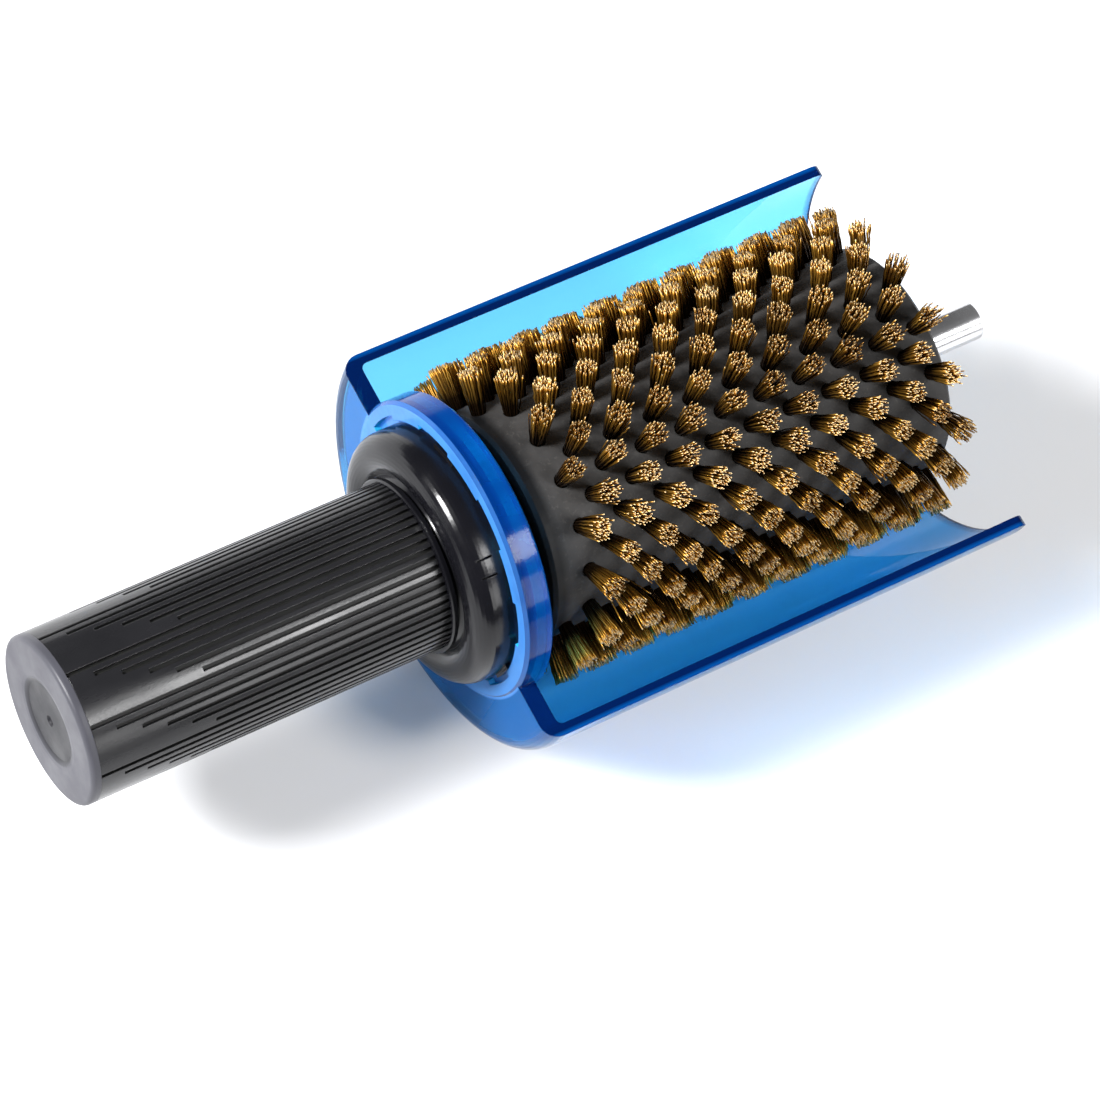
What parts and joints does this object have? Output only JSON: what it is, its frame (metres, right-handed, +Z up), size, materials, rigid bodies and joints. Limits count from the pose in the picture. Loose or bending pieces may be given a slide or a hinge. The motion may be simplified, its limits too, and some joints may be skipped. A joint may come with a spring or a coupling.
{
  "type": "rotary brush",
  "caption": "Drill-driven rotary brush: ribbed handle, clear half-round guard that turns on its nose, and a roller set with brass wire tufts.",
  "frame": {"origin": "under the middle of the whole object, on the surface that the guard lies on", "axes": "+X along the shaft from the butt of the handle to the drive end, +Z up out of the guard's open side"},
  "size_m": [0.2232, 0.09, 0.0792],
  "materials": {
    "grip_black": "moulded, satin gloss",
    "butt_black": "moulded, satin gloss",
    "nose_black": "polished moulding",
    "inner_black": "moulded, matt",
    "zinc_steel": "zinc plated",
    "guard_blue": "clear tinted, polished",
    "bright_steel": "ground and polished",
    "spring_steel": "oiled spring steel",
    "cage_brass": "pressed",
    "seal_rubber": "matt",
    "shaft_steel": "turned and polished",
    "core_black": "moulded, matt, dusty",
    "tuft_brass": "crimped wire, cut ends"
  },
  "bodies": {
    "handle": {"handle_body": "grip_black", "butt_cap": "butt_black", "nose_flange": "nose_black", "guard_retainer": "inner_black", "retainer_screws": "zinc_steel", "detent_ball": "bright_steel", "detent_spring": "spring_steel", "front_bearing_outer_race": "bright_steel", "front_bearing_seals": "seal_rubber", "rear_bearing_outer_race": "bright_steel", "rear_bearing_seals": "seal_rubber", "wave_washer": "spring_steel", "bore_circlip": "spring_steel"},
    "guard": {"guard": "guard_blue"},
    "shaft": {"drive_shaft": "shaft_steel", "front_bearing_inner_race": "bright_steel", "rear_bearing_inner_race": "bright_steel", "bearing_spacer": "zinc_steel", "shaft_circlip": "spring_steel", "stop_clip": "spring_steel", "thrust_washer": "inner_black", "friction_ring": "seal_rubber"},
    "brush": {"brush_core": "core_black", "tuft_anchors": "cage_brass", "brass_tufts": "tuft_brass"},
    "front_cage": {"front_bearing_balls": "bright_steel", "front_bearing_cage": "cage_brass"},
    "rear_cage": {"rear_bearing_balls": "bright_steel", "rear_bearing_cage": "cage_brass"}
  },
  "joints": [
    {"name": "guard_turn", "type": "hinge", "parent": "handle", "child": "guard", "pos_m": [0, 0, 0.0446], "axis": [1, 0, 0], "continuous": true},
    {"name": "shaft_spin", "type": "hinge", "parent": "handle", "child": "shaft", "pos_m": [0, 0, 0.0446], "axis": [1, 0, 0], "continuous": true},
    {"name": "front_cage_spin", "type": "hinge", "parent": "handle", "child": "front_cage", "pos_m": [-0.03185, 0, 0.0446], "axis": [1, 0, 0], "continuous": true},
    {"name": "rear_cage_spin", "type": "hinge", "parent": "handle", "child": "rear_cage", "pos_m": [-0.10085, 0, 0.0446], "axis": [1, 0, 0], "continuous": true},
    {"name": "brush_slide", "type": "slide", "parent": "shaft", "child": "brush", "axis": [1, 0, 0], "range_m": [0, 0.123]}
  ],
  "couplings": [
    {"joint": "front_cage_spin", "follows": "shaft_spin", "ratio": 0.3677},
    {"joint": "rear_cage_spin", "follows": "shaft_spin", "ratio": 0.3677}
  ]
}
